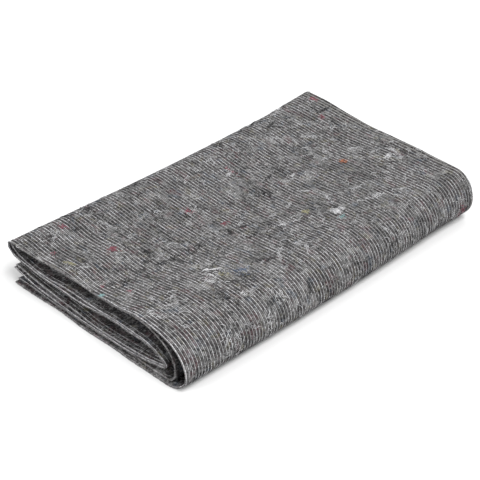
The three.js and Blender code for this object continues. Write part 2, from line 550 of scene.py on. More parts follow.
def lay_mottles(
    tree: bpy.types.NodeTree,
    spot: bpy.types.NodeSocket,
    colour: object,
    mottles: tuple[Mottle, ...],
) -> tuple[object, bpy.types.NodeSocket | None]:
    """Lay spots of colour over a colour, one kind after another.

    Args:
        tree: Tree of the material.
        spot: Place on the piece in metres.
        colour: Colour or socket that lies under the spots.
        mottles: Kinds of spots in order.

    Returns:
        The socket of the mottled colour, and that of the cover of the last kind of spots.
    """
    cover = None
    for mottle in mottles:
        sizes = (mottle.along, mottle.across, mottle.along)
        laid = add_node(
            tree, "ShaderNodeMapping",
            {
                "Vector": spot,
                "Location": tuple(share * size for share, size in zip(MOTTLE_START, sizes)),
                "Scale": tuple(1 / (size * MM) for size in sizes),
            },
        )
        noise = add_node(
            tree, "ShaderNodeTexNoise",
            {"Vector": laid.outputs["Vector"], "Scale": 1.0, "Detail": 3.0, "Distortion": mottle.curl},
        )
        cover = add_node(
            tree, "ShaderNodeMapRange",
            {
                "Value": noise.outputs["Fac"],
                "From Min": mottle.low,
                "From Max": mottle.high,
                "To Max": mottle.share,
            },
            interpolation_type="SMOOTHSTEP",
        ).outputs["Result"]
        colour = add_node(
            tree, "ShaderNodeMix", {0: cover, 6: colour, 7: linear(mottle.colour)}, data_type="RGBA"
        ).outputs[2]
    return colour, cover


def empty_material(name: str) -> bpy.types.Material:
    """Make a material whose tree is empty.

    Args:
        name: Name of the material.

    Returns:
        The material.
    """
    made = bpy.data.materials.new(name)
    made.use_nodes = True
    made.node_tree.nodes.clear()
    return made


def end_material(tree: bpy.types.NodeTree, inputs: dict[str, object]) -> None:
    """End the tree of a material with a surface that has these inputs."""
    shader = add_node(tree, "ShaderNodeBsdfPrincipled", inputs)
    add_node(tree, "ShaderNodeOutputMaterial", {"Surface": shader.outputs["BSDF"]})


@dataclass(frozen=True)
class FeltFinish:
    """Stitch-bonded felt of torn mixed rags.

    Its loose fibres scatter all light, so it is dull from every side. It is mottled where fibres of one rag
    lie together, has painted shade in the furrow that each stitch row pulls into it, and is paler where cut.
    """

    ground: str = "494546"
    cut_ground: str = "7c7879"
    # Colour of the painted shade along the furrow of each stitch row
    furrow: str = "2a2a2b"
    thread: str = "a9a8a4"
    patches: tuple[Mottle, ...] = PATCH_MOTTLES
    fibres: tuple[Mottle, ...] = FIBRE_MOTTLES
    # Reach from the row and share of that painted furrow shade, then of the thread's stripe
    furrow_shade_reach: tuple[float, float] = (2.9, 0.9)
    furrow_shade_share: float = 0.82
    thread_reach: tuple[float, float] = (1.1, 0.5)
    thread_share: float = 0.5
    roughness: tuple[float, float] = (0.98, 0.85)
    gloss: float = 0.0
    relief: float = 0.8

    def material(self, name: str, face: FeltFace) -> bpy.types.Material:
        """Make the felt's material.

        Args:
            name: Name of the material.
            face: Kind of face. The cut edge is paler, and only the seen side has rows with painted furrow
                shade.

        Returns:
            The material. Its patches lie in the sheet's space, its fibres, rows and painted furrow shade on
            the sheet's map.
        """
        made = empty_material(name)
        tree = made.node_tree
        spot = add_node(tree, "ShaderNodeUVMap", uv_map=UV_NAME).outputs["UV"]
        place = add_node(tree, "ShaderNodeTexCoord").outputs["Object"]
        ground = self.cut_ground if face is FeltFace.CUT else self.ground
        colour, _ = lay_mottles(tree, place, linear(ground), self.patches)
        colour, height = lay_mottles(tree, place if face is FeltFace.CUT else spot, colour, self.fibres)
        if face is FeltFace.ROWS:
            axes = add_node(tree, "ShaderNodeSeparateXYZ", {"Vector": spot})
            to_row = add_node(
                tree, "ShaderNodeMath", {0: axes.outputs["Y"], 1: ROW_PITCH / 2 * MM}, operation="PINGPONG"
            )
            # Painted shade darkens the felt along each row's furrow, then the thread's own colour is striped
            # along the row
            for tint, reach, share in (
                (self.furrow, self.furrow_shade_reach, self.furrow_shade_share),
                (self.thread, self.thread_reach, self.thread_share),
            ):
                stripe = add_node(
                    tree, "ShaderNodeMapRange",
                    {
                        "Value": to_row.outputs["Value"],
                        "From Min": reach[0] * MM,
                        "From Max": reach[1] * MM,
                        "To Max": share,
                    },
                    interpolation_type="SMOOTHSTEP",
                )
                colour = add_node(
                    tree, "ShaderNodeMix",
                    {0: stripe.outputs["Result"], 6: colour, 7: linear(tint)},
                    data_type="RGBA",
                ).outputs[2]
        rough = add_node(
            tree, "ShaderNodeMapRange",
            {"Value": height, "To Min": self.roughness[0], "To Max": self.roughness[1]},
        )
        bump = add_node(tree, "ShaderNodeBump", {"Height": height, "Distance": self.relief * MM})
        surface = {
            "Base Color": colour,
            "Roughness": rough.outputs["Result"],
            "Specular IOR Level": self.gloss,
            "Normal": bump.outputs["Normal"],
        }
        end_material(tree, surface)
        return made


@dataclass(frozen=True)
class FibreFinish:
    """Spun polyester thread or loose rag fibre: fuzzy and dull, each stitch or end in a shade of its own."""

    dark: str
    pale: str
    patches: tuple[Mottle, ...] = ()
    roughness: float = 0.8
    gloss: float = 0.0

    def material(self, name: str) -> bpy.types.Material:
        """Make the fibre's material.

        Args:
            name: Name of the material.

        Returns:
            The material, which reads the shade stored on each stitch or fibre.
        """
        made = empty_material(name)
        tree = made.node_tree
        shade = add_node(tree, "ShaderNodeAttribute", attribute_name=SHADE_NAME).outputs["Fac"]
        colour = add_node(
            tree, "ShaderNodeMix", {0: shade, 6: linear(self.dark), 7: linear(self.pale)}, data_type="RGBA"
        ).outputs[2]
        place = add_node(tree, "ShaderNodeTexCoord").outputs["Object"]
        colour, _ = lay_mottles(tree, place, colour, self.patches)
        surface = {"Base Color": colour, "Roughness": self.roughness, "Specular IOR Level": self.gloss}
        end_material(tree, surface)
        return made


@dataclass(frozen=True)
class PaperFinish:
    """Matt pale paper: without a gloss, it stays an even white under the soft boxes."""

    colour: str = "d2d2d2"
    roughness: float = 0.9
    gloss: float = 0.0

    def material(self, name: str) -> bpy.types.Material:
        """Make the paper's material.

        Args:
            name: Name of the material.

        Returns:
            The material, of one plain colour.
        """
        made = empty_material(name)
        colour = linear(self.colour)
        surface = {"Base Color": colour, "Roughness": self.roughness, "Specular IOR Level": self.gloss}
        end_material(made.node_tree, surface)
        return made


def mesh_object(
    name: str,
    points: np.ndarray,
    edges: np.ndarray | list = (),
    faces: list = (),
    vectors: dict[str, np.ndarray] | None = None,
) -> bpy.types.Object:
    """Make an object at the origin from arrays.

    Args:
        name: Name of the object and its mesh.
        points: Points in metres, n by 3.
        edges: Pairs of points.
        faces: Lists of points.
        vectors: Directions at the points by attribute name, n by 3 each.

    Returns:
        The object, linked to the scene.
    """
    mesh = bpy.data.meshes.new(name)
    mesh.from_pydata(np.asarray(points).tolist(), np.asarray(edges).tolist(), list(faces))
    for key, values in (vectors or {}).items():
        mesh.attributes.new(key, "FLOAT_VECTOR", "POINT").data.foreach_set("vector", np.ravel(values))
    made = bpy.data.objects.new(name, mesh)
    bpy.context.scene.collection.objects.link(made)
    return made


@dataclass
class FeltSheet:
    """The felt: one closed sheet on the folds, with a furrow at each stitch row and rounded cut edges.

    turn_step is in degrees, and run_step, inside_step and edge_steps are in millimetres. The other steps are
    numbers of columns.
    """

    shape: BlanketShape
    turn_step: float = 6.5
    run_step: float = 10.0
    inside_step: float = 9.0
    row_steps: int = 4
    # Distances from a row as shares of the pitch, and the shares of the furrow's depth there
    furrow_shape: tuple[tuple[float, ...], ...] = ((0.0, 0.25, 0.5), (1.0, 0.35, 0.0))
    ramp_steps: int = 14
    tail_steps: int = 4
    outer_steps: int = 26
    inner_steps: int = 26
    crease_steps: int = 10
    edge_steps: tuple[float, ...] = (0.0, 0.5, 1.4, 3.5)
    edge_shares: tuple[float, ...] = (0.5, 0.85, 1.0, 1.0)
    # Size of the sheet when it is laid out, in metres
    flat: tuple[float, float] = (1.5, 1.71)

    def columns(self, stations: np.ndarray) -> tuple[np.ndarray, np.ndarray, np.ndarray]:
        """Columns of the sheet over the cloth, closest at the cut edges and the crease.

        Args:
            stations: Places along the section, n of them.

        Returns:
            Distances over the cloth and the share of the furrow there, n by m each, and whether a column is
            kept where the cloth lies inside the folds.
        """
        turn, nose = (value[:, None] for value in self.shape.section.turn(stations))
        start, end = (value[:, None] for value in self.shape.edges(stations))
        near = np.array(self.edge_steps)[None]
        clear = start + near[:, -1:]
        first = int(np.ceil(row_number(clear).max())) + 1
        last = int(row_number(turn - self.edge_steps[-1]).min())
        rows = row_place(np.arange(first * self.row_steps, last * self.row_steps + 1) / self.row_steps)[None]
        ramp = clear + (rows[:, :1] - clear) * np.linspace(0, 1, self.ramp_steps)[None, 1:-1]
        tail = rows[:, -1:] + (turn - rows[:, -1:]) * np.linspace(0, 1, self.tail_steps)[None, 1:-1]
        arc = turn + nose * np.linspace(0, np.pi, self.crease_steps)[None]
        back = turn + np.pi * nose
        inner = back + (end - near[:, -1:] - back) * np.linspace(0, 1, self.inner_steps)[None, 1:-1]
        lattice = np.broadcast_to(rows, (len(stations), rows.shape[1]))
        over = np.concatenate([start + near, ramp, lattice, tail, arc, inner, end - near[:, ::-1]], axis=1)
        kept = np.ones(over.shape[1], bool)
        at = len(self.edge_steps) + self.ramp_steps - 2
        until = at + rows.shape[1]
        kept[at + 1:until - 1] = np.arange(1, rows.shape[1] - 1) % (rows.shape[1] // self.outer_steps) == 0
        number = row_number(over)
        furrow = np.interp(np.abs(number - np.round(number)), *self.furrow_shape)
        furrow[:, until:] = 0.0
        furrow[:, :len(self.edge_steps)] = 0.0
        return over, furrow, kept

    def shares(self, rows: int, columns: int) -> np.ndarray:
        """Share of the full thickness at each point, less at the rounded cut edges.

        Args:
            rows: Number of places along the section.
            columns: Number of columns over the cloth.

        Returns:
            The shares, rows by columns.
        """
        share = np.ones((rows, columns))
        for at, part in enumerate(self.edge_shares):
            share[:, [at, -1 - at]] *= part
        share[[0, -1]] *= self.edge_shares[0]
        return share

    def faces(
        self, number: np.ndarray, fine: np.ndarray, kept: np.ndarray
    ) -> tuple[list[list[int]], np.ndarray]:
        """Faces over a grid of points, with only the kept columns where it is not fine.

        Args:
            number: The points' numbers, rows by columns.
            fine: Whether a row has all its columns.
            kept: Whether a column is kept in every row.

        Returns:
            The faces, and the row and column that each starts at.
        """
        faces, spots = [], []
        stops = np.flatnonzero(kept)
        for row in range(len(number) - 1):
            for start, end in zip(stops[:-1], stops[1:]):
                near, far = (
                    number[at, start:end + 1] if fine[at] else number[at, [start, end]]
                    for at in (row, row + 1)
                )
                if fine[row] and fine[row + 1]:
                    made = [[a, b, d, c] for a, b, c, d in zip(near, near[1:], far, far[1:])]
                else:
                    made = [[*near, *far[::-1]]]
                faces.extend([int(corner) for corner in face] for face in made)
                spots.extend([(row, start)] * len(made))
        return faces, np.array(spots)

    def kinds(self, stations: np.ndarray, spots: np.ndarray, columns: int, hidden: bool) -> np.ndarray:
        """Kind of each face of one side of the sheet, by its place among the materials.

        Args:
            stations: Places along the section.
            spots: Row and column that each face starts at.
            columns: Number of columns.
            hidden: Whether it is the side that lies within the folded pair of cloths.

        Returns:
            The kinds as numbers.
        """
        place, first = stations[spots[:, 0]], spots[:, 1]
        rounding = len(self.edge_steps) - 2
        back = columns - len(self.edge_steps) - self.inner_steps + 1
        inside = (first >= back) | hidden | ((place >= SECOND_LEFT) & (place < THIRD_LEFT))
        kind = np.where(inside, FeltFace.INSIDE.value, FeltFace.ROWS.value)
        return np.where((first < rounding) | (first >= columns - 1 - rounding), FeltFace.CUT.value, kind)

    def build(self) -> bpy.types.Object:
        """Make the sheet's closed mesh.

        Returns:
            The sheet, with its map in metres over the cloth and its kinds of face.
        """
        stations = self.shape.section.stations(self.turn_step, self.run_step, self.inside_step)
        over, furrow, kept = self.columns(stations)
        rows, columns = over.shape
        half = self.shares(rows, columns)[..., None] * self.shape.section.cloth / 2 * MM
        middle = self.shape.place(stations, over)
        up = np.cross(np.gradient(middle, axis=1), np.gradient(middle, axis=0))
        up /= np.linalg.norm(up, axis=-1, keepdims=True)
        seen = middle + up * (half - furrow[..., None] * self.shape.furrow * MM)
        points = np.concatenate([seen.reshape(-1, 3), (middle - up * half).reshape(-1, 3)])
        number = np.arange(rows * columns).reshape(rows, columns)
        hidden = rows * columns
        fine = (stations >= BOTTOM_RIGHT) & (stations <= SECOND_LEFT)
        faces, spots = self.faces(number, fine, kept)
        under, under_spots = self.faces(number + hidden, np.zeros(rows, bool), kept)
        faces += [face[::-1] for face in under]
        sides = number[:, kept]
        loop = np.concatenate([sides[0, :-1], sides[:-1, -1], sides[-1, :0:-1], sides[:0:-1, 0]])
        after = np.roll(loop, -1)
        rim = np.stack([after, loop, loop + hidden, after + hidden], axis=-1).tolist()
        used, faces = self.compact(faces + rim)
        sheet = mesh_object("blanket_cloth", points[used], faces=faces)
        along = np.repeat(self.shape.path(stations)[:, None], columns, axis=1)
        # On the map the rows lie evenly apart, as the felt's material takes them to
        flat = np.stack([along.ravel(), row_number(over).ravel() * ROW_PITCH], axis=-1) * MM
        self.map(sheet, np.concatenate([flat, flat])[used])
        kinds = (
            self.kinds(stations, spots, columns, hidden=False),
            self.kinds(stations, under_spots, columns, hidden=True),
            np.full(len(rim), FeltFace.CUT.value),
        )
        sheet.data.polygons.foreach_set("material_index", np.concatenate(kinds))
        sheet.data.polygons.foreach_set("use_smooth", np.ones(len(faces), bool))
        sheet.data.update()
        return sheet

    @staticmethod
    def compact(faces: list[list[int]]) -> tuple[np.ndarray, list[list[int]]]:
        """Drop the points that no face uses.

        Args:
            faces: Faces by the numbers of all points.

        Returns:
            Numbers of the points that are used, and the faces by their place among them.
        """
        used = np.unique(np.concatenate([np.array(face) for face in faces]))
        place = {int(number): at for at, number in enumerate(used)}
        return used, [[place[corner] for corner in face] for face in faces]

    @staticmethod
    def map(sheet: bpy.types.Object, flat: np.ndarray) -> None:
        """Lay the map of the flat cloth on both faces of the sheet.

        Args:
            sheet: Object that takes the map.
            flat: Place of each point on the flat cloth, in metres, n by 2.
        """
        corner = np.zeros(len(sheet.data.loops), int)
        sheet.data.loops.foreach_get("vertex_index", corner)
        sheet.data.uv_layers.new(name=UV_NAME).data.foreach_set("uv", flat[corner].ravel())

    def dress(self, sheet: bpy.types.Object, finish: FeltFinish) -> None:
        """Give the sheet its felt with rows and painted furrow shade, the paler felt of its cut edges and the
        rowless felt inside.
        """
        for face in FeltFace:
            sheet.data.materials.append(finish.material(f"stitch_bonded_felt_{face.name.lower()}", face))


class Scatter:
    """Small parts set along the cloth by Geometry Nodes, then made plain meshes."""

    @staticmethod
    def tree(name: str, sizes: dict[str, float], seed: int) -> tuple[bpy.types.NodeTree, Sockets]:
        """Start a tree with a geometry input, named sizes, a seed and a material.

        Args:
            name: Name of the tree.
            sizes: Default of each size by name, in millimetres.
            seed: Default seed.

        Returns:
            The tree, and its inputs' sockets by name.
        """
        tree = bpy.data.node_groups.new(name, "GeometryNodeTree")
        face = tree.interface
        face.new_socket("Geometry", in_out="OUTPUT", socket_type="NodeSocketGeometry")
        face.new_socket("Geometry", in_out="INPUT", socket_type="NodeSocketGeometry")
        for size, value in sizes.items():
            face.new_socket(size, in_out="INPUT", socket_type="NodeSocketFloat").default_value = value * MM
        face.new_socket("Seed", in_out="INPUT", socket_type="NodeSocketInt").default_value = seed
        face.new_socket("Material", in_out="INPUT", socket_type="NodeSocketMaterial")
        start = add_node(tree, "NodeGroupInput")
        return tree, {socket.name: socket for socket in start.outputs}

    @staticmethod
    def close(
        tree: bpy.types.NodeTree,
        inputs: Sockets,
        placing: dict[str, object],
        size: bpy.types.NodeSocket,
        uneven: tuple[float, float],
    ) -> None:
        """End a tree: instances of uneven size, a shade for each, then real meshes with their material.

        Args:
            tree: Tree to end.
            inputs: The tree's inputs by name.
            placing: Points, instance and rotation, by the names of the instancing node's inputs.
            size: Socket of an instance's size.
            uneven: Least and most of the size, as shares of it.
        """
        share = add_node(
            tree, "FunctionNodeRandomValue",
            {2: uneven[0], 3: uneven[1], "Seed": inputs["Seed"]},
            data_type="FLOAT",
        )
        scale = add_node(
            tree, "ShaderNodeVectorMath",
            {0: size, "Scale": share.outputs[1]},
            operation="SCALE",
        )
        set_out = add_node(
            tree, "GeometryNodeInstanceOnPoints",
            {**placing, "Scale": scale.outputs["Vector"]},
        )
        shade = add_node(tree, "FunctionNodeRandomValue", {"Seed": inputs["Seed"]}, data_type="FLOAT")
        stored = add_node(
            tree, "GeometryNodeStoreNamedAttribute",
            {"Geometry": set_out.outputs["Instances"], "Name": SHADE_NAME, "Value": shade.outputs[1]},
            data_type="FLOAT", domain="INSTANCE",
        )
        real = add_node(tree, "GeometryNodeRealizeInstances", {"Geometry": stored.outputs["Geometry"]})
        smooth = add_node(tree, "GeometryNodeSetShadeSmooth", {"Geometry": real.outputs["Geometry"]})
        dressed = add_node(
            tree, "GeometryNodeSetMaterial",
            {"Geometry": smooth.outputs["Geometry"], "Material": inputs["Material"]},
        )
        add_node(tree, "NodeGroupOutput", {"Geometry": dressed.outputs["Geometry"]})

    @staticmethod
    def apply(
        source: bpy.types.Object,
        tree: bpy.types.NodeTree,
        sizes: dict[str, float],
        seed: int,
        material: bpy.types.Material,
    ) -> bpy.types.Object:
        """Run a tree on an object and keep the result as the object's plain mesh.

        Args:
            source: Object with the points or lines that the tree reads.
            tree: The tree.
            sizes: Those of the tree's sizes that differ from its defaults, by name, in millimetres.
            seed: Seed of its random values.
            material: Material of the result.

        Returns:
            The same object with its new mesh.
        """
        modifier = source.modifiers.new(tree.name, "NODES")
        modifier.node_group = tree
        names = {item.name: item.identifier for item in tree.interface.items_tree if item.in_out == "INPUT"}
        metres = {name: size * MM for name, size in sizes.items()}
        for name, value in {**metres, "Seed": seed, "Material": material}.items():
            modifier[names[name]] = value
        ready = source.evaluated_get(bpy.context.evaluated_depsgraph_get())
        mesh = bpy.data.meshes.new_from_object(ready)
        source.modifiers.remove(modifier)
        lines = source.data
        source.data = mesh
        mesh.name = source.name
        bpy.data.meshes.remove(lines)
        return source


@dataclass(frozen=True)
class RowPiece:
    """One piece of stitch rows on the seen side of the outer cloth, in millimetres.

    spans are its stretches along the section, cover is how deep loose fibres bury its threads at most, and
    reach is how far over the cloth its last row is.
    """

    name: str
    spans: Spans
    cover: float
    # Drawn about half as wide again as the real thread, so that a row shows at the picture's size
    width: float = 1.9
    height: float = 1.1
    reach: float = np.inf


ROW_PIECES = (
    RowPiece("stitches_top", ((TOP_RIGHT, LEFT_RIDGE),), 0.35),
    RowPiece("stitches_right_fold", ((RIGHT_UNDER, TOP_RIGHT),), 0.18, 1.8, 0.9),
    RowPiece("stitches_left_fold", ((LEFT_RIDGE, SECOND_LEFT), (THIRD_LEFT, FREE_END)), 0.35),
    RowPiece("stitches_inside", ((INNER_FOLD, THIRD_LEFT),), 0.12, reach=28.0),
)


@dataclass(frozen=True)
class EdgeRow:
    """A row of stitches along the cut edges, by its distance from them and its stretches on each cloth."""

    name: str
    back: float
    spans: dict[Cloth, Spans]
    width: float = 1.5


CUT_EDGE_ROW = EdgeRow(
    "stitches_cut_edge", 0.7,
    {Cloth.OUTER: ((1.6, 3.75), (6.3, FREE_END)), Cloth.INNER: ((0.0, 0.6), (3.4, FREE_END))},
)
SECOND_RUN_ROW = EdgeRow("stitches_second_run", 7.5, {Cloth.INNER: ((8.6, 12.2),)})


@dataclass
class StitchRows:
    """Rows of chain stitch that bond the felt, set along the folds, with sizes in millimetres."""

    shape: BlanketShape
    stitch: float = 4.4
    overlap: float = 1.5
    uneven: tuple[float, float] = (0.8, 1.15)
    sink: float = 0.15
    sink_shares: tuple[float, float] = (-1.0, 0.35)
    rise: float = 0.25
    tangle: float = 18.0
    tangle_range: tuple[float, float] = (0.42, 0.68)
    line_step: float = 3.0
    edge_clear: float = 0.7
    floor_clear: float = 1.2
    # An edge row shows on the faces that look this way
    edge_side: tuple[float, float, float] = (0.5, 0.0, 1.0)
    seed: int = 11

    def tree(self) -> bpy.types.NodeTree:
        """Make the Geometry Nodes tree that lays overlapping thread loops along lines on the cloth.

        Returns:
            The tree, with the loops' sizes as its inputs.
        """
        sizes = {
            "Stitch": self.stitch,
            "Width": RowPiece.width,
            "Height": RowPiece.height,
            "Sink": self.sink,
            "Cover": 0.0,
        }
        tree, inputs = Scatter.tree("chain_stitch_rows", sizes, self.seed)
        curve = add_node(tree, "GeometryNodeMeshToCurve", {"Mesh": inputs["Geometry"]})
        steps = add_node(
            tree, "GeometryNodeResampleCurve",
            {"Curve": curve.outputs["Curve"], "Length": inputs["Stitch"]},
            mode="LENGTH",
        )
        up = add_node(tree, "GeometryNodeInputNamedAttribute", {"Name": UP_NAME}, data_type="FLOAT_VECTOR")
        way = add_node(tree, "GeometryNodeInputTangent")
        turned = add_node(
            tree, "FunctionNodeAxesToRotation",
            {"Primary Axis": way.outputs["Tangent"], "Secondary Axis": up.outputs["Attribute"]},
            primary_axis="X", secondary_axis="Z",
        )
        depth = add_node(
            tree, "FunctionNodeRandomValue",
            {2: self.sink_shares[0], 3: self.sink_shares[1], "Seed": inputs["Seed"]},
            data_type="FLOAT",
        )
        spot = add_node(tree, "GeometryNodeInputPosition")
        tangle = add_node(
            tree, "ShaderNodeTexNoise",
            {"Vector": spot.outputs["Position"], "Scale": 1 / (self.tangle * MM), "Detail": 1.0},
        )
        under = add_node(
            tree, "ShaderNodeMapRange",
            {
                "Value": tangle.outputs["Fac"],
                "From Min": self.tangle_range[0],
                "From Max": self.tangle_range[1],
                "To Max": inputs["Cover"],
            },
        )
        deep = add_node(
            tree, "ShaderNodeMath",
            {0: depth.outputs[1], 1: inputs["Sink"]},
            operation="MULTIPLY",
        )
        lower = add_node(
            tree, "ShaderNodeMath",
            {0: deep.outputs["Value"], 1: under.outputs["Result"]},
            operation="SUBTRACT",
        )
        moved = add_node(
            tree, "ShaderNodeVectorMath",
            {0: up.outputs["Attribute"], "Scale": lower.outputs["Value"]},
            operation="SCALE",
        )
        sunk = add_node(
            tree, "GeometryNodeSetPosition",
            {"Geometry": steps.outputs["Curve"], "Offset": moved.outputs["Vector"]},
        )
        loop = add_node(tree, "GeometryNodeMeshUVSphere", {"Segments": 4, "Rings": 3, "Radius": 0.5})
        long = add_node(tree, "ShaderNodeMath", {0: inputs["Stitch"], 1: self.overlap}, operation="MULTIPLY")
        size = add_node(
            tree, "ShaderNodeCombineXYZ",
            {"X": long.outputs["Value"], "Y": inputs["Width"], "Z": inputs["Height"]},
        )
        placing = {
            "Points": sunk.outputs["Geometry"],
            "Instance": loop.outputs["Mesh"],
            "Rotation": turned.outputs["Rotation"],
        }
        Scatter.close(tree, inputs, placing, size.outputs["Vector"], self.uneven)
        return tree

    def places(self, start: float, end: float) -> np.ndarray:
        """Closely set places between two places along the section."""
        return self.shape.stations_at(np.arange(self.shape.path(start), self.shape.path(end), self.line_step))

    @staticmethod
    def wires(name: str, grids: list[tuple[np.ndarray, np.ndarray, np.ndarray]]) -> bpy.types.Object:
        """Make lines along the first axis of grids of points.

        Args:
            name: Name of the object.
            grids: For each grid its points, the directions out of the cloth there and which points are kept.

        Returns:
            An object of edges, with the directions at its points.
        """
        edges, count = [], 0
        for _, _, kept in grids:
            number = np.arange(kept.size).reshape(kept.shape) + count
            both = kept[:-1] & kept[1:]
            edges.append(np.stack([number[:-1][both], number[1:][both]], axis=-1))
            count += kept.size
        points, ups = (np.concatenate([grid[at].reshape(-1, 3) for grid in grids]) for at in (0, 1))
        return mesh_object(name, points, np.concatenate(edges), vectors={UP_NAME: ups})

    def lines(self, piece: RowPiece) -> bpy.types.Object:
        """Lines of the rows on the seen side of the outer cloth.

        Args:
            piece: The piece that the rows are for.

        Returns:
            An object of edges, with the direction out of the cloth at its points.
        """
        lift = self.shape.section.cloth / 2 - self.shape.furrow + self.rise
        grids = []
        for start, end in piece.spans:
            stations = self.places(start, end)
            turn, nose = self.shape.section.turn(stations)
            last = row_number(min(piece.reach, turn.max() + np.pi * nose.max()))
            rows = row_place(np.arange(1, int(last)))
            over = np.broadcast_to(rows, (len(stations), len(rows)))
            spots, up = self.shape.face(stations, over, lift)
            cut, _ = self.shape.edges(stations)
            kept = (over > cut[:, None] + self.edge_clear) & (over < (turn + np.pi * nose)[:, None])
            grids.append((spots, up, kept))
        return self.wires(piece.name, grids)

    def edge_lines(self, row: EdgeRow) -> bpy.types.Object:
        """Lines of a row along the cut edges, on the upper or right-hand face of the cloths.

        Args:
            row: The row.

        Returns:
            An object of edges, with the direction out of the cloth at its points.
        """
        stations = self.places(0.0, FREE_END)
        start, end = self.shape.edges(stations)
        over = np.stack([start + row.back, end - row.back], axis=-1)
        half = self.shape.section.cloth / 2
        faces = [self.shape.face(stations, over, lift) for lift in (half, -half)]
        points, ups = (np.concatenate(part, axis=1) for part in zip(*faces))
        clear = (points[..., 2] > self.floor_clear * MM) & (ups @ np.array(self.edge_side) > 0)
        for at, cloth in enumerate(Cloth):
            on = np.zeros(len(stations), bool)
            for first, last in row.spans.get(cloth, ()):
                on |= (stations >= first) & (stations <= last)
            clear[:, at::len(Cloth)] &= on[:, None]
        return self.wires(row.name, [(points, ups, clear)])

    def build(self, thread: bpy.types.Material, bright: bpy.types.Material) -> list[bpy.types.Object]:
        """Make all the rows.

        Args:
            thread: Material of the rows.
            bright: Material of the row at the cut edges, which no fibres cover.

        Returns:
            The pieces as plain meshes.
        """
        tree = self.tree()
        pieces = []
        for piece in ROW_PIECES:
            sizes = {"Cover": piece.cover, "Width": piece.width, "Height": piece.height}
            pieces.append(Scatter.apply(self.lines(piece), tree, sizes, self.seed, thread))
        for row, finish in ((CUT_EDGE_ROW, bright), (SECOND_RUN_ROW, thread)):
            sizes = {"Width": row.width}
            pieces.append(Scatter.apply(self.edge_lines(row), tree, sizes, self.seed, finish))
        return pieces


@dataclass(frozen=True)
class Fleck:
    """A tuft of dyed rag fibres, by its place on the flat cloth and the spread of its fibres in millimetres.

    bearing is the angle of its fibres to the stitch rows in degrees, or None where they lie every way.
    """

    along: float
    over: float
    spread: tuple[float, float]
    count: int
    bearing: float | None = None


FLECKS = {
    FibreColour.RED: (
        Fleck(755, 288, (4.0, 3.0), 31),
        Fleck(680, 309, (3.0, 3.5), 17),
        Fleck(797, 440, (8.0, 1.5), 20),
        Fleck(848, 738, (4.0, 4.0), 34),
        Fleck(803, 701, (4.0, 3.0), 23),
        Fleck(752, 113, (5.0, 4.0), 43),
        Fleck(813, 34, (2.0, 2.0), 8),
        Fleck(616, 53, (2.0, 2.0), 8),
        Fleck(677, 35, (2.0, 2.0), 8),
        Fleck(859, 92, (7.0, 3.0), 20),
        Fleck(436, 705, (6.0, 6.0), 17),
    ),
    FibreColour.ORANGE: (Fleck(681, 616, (3.5, 3.0), 28),),
    FibreColour.YELLOW: (
        Fleck(606, 437, (4.0, 3.0), 25),
        Fleck(772, 32, (9.0, 2.5), 14),
        Fleck(553, 192, (3.0, 3.0), 10),
    ),
    FibreColour.CYAN: (
        Fleck(549, 469, (4.0, 4.0), 23),
        Fleck(650, 16, (3.0, 2.0), 17),
    ),
    FibreColour.BLUE: (Fleck(547, 221, (9.0, 8.0), 52),),
    FibreColour.WHITE: (
        Fleck(584, 184, (2.5, 2.0), 14, 135),
        Fleck(577, 191, (2.5, 2.0), 10, 135),
        Fleck(571, 199, (2.5, 2.0), 8, 135),
        Fleck(549, 159, (4.0, 4.0), 12),
        Fleck(556, 176, (10.0, 10.0), 26),
        Fleck(629, 684, (4.0, 7.0), 40),
        Fleck(551, 564, (3.0, 8.0), 32),
        Fleck(566, 482, (5.0, 6.0), 80),
        Fleck(606, 380, (6.0, 18.0), 24),
        Fleck(494, 179, (1.5, 1.5), 10),
        Fleck(470, 229, (7.0, 7.0), 24),
        Fleck(518, 27, (5.0, 3.0), 12, 135),
        Fleck(441, 119, (6.0, 8.0), 24),
        Fleck(455, 97, (6.0, 6.0), 20),
        Fleck(449, 197, (6.0, 6.0), 20),
    ),
    FibreColour.BLACK: (
        Fleck(707, 429, (7.8, 10.8), 66),
        Fleck(525, 217, (7.8, 7.2), 36),
        Fleck(492, 149, (10.4, 8.4), 54),
        Fleck(655, 71, (11.7, 8.4), 60),
        Fleck(661, 150, (5.2, 16.8), 60),
        Fleck(661, 222, (3.9, 16.8), 42),
        Fleck(840, 58, (10.4, 6.0), 36),
        Fleck(771, 236, (9.1, 8.4), 36),
    ),
}


@dataclass(frozen=True)
class CurlPiece:
    """One piece of loose yarn: its streaks, the ends in each, about, and their length in millimetres."""

    name: str
    clumps: int
    count: int
    length: float
    finish: FibreFinish


CURL_PIECES = (
    CurlPiece("curls_pale", 170, 9, 8.0, FibreFinish("747475", "b6b6b8")),
    CurlPiece("curls_long", 50, 1, 17.0, FibreFinish("808081", "b6b6b8")),
    CurlPiece("curls_dark", 190, 8, 7.0, FibreFinish("272728", "3e3e3f")),
)


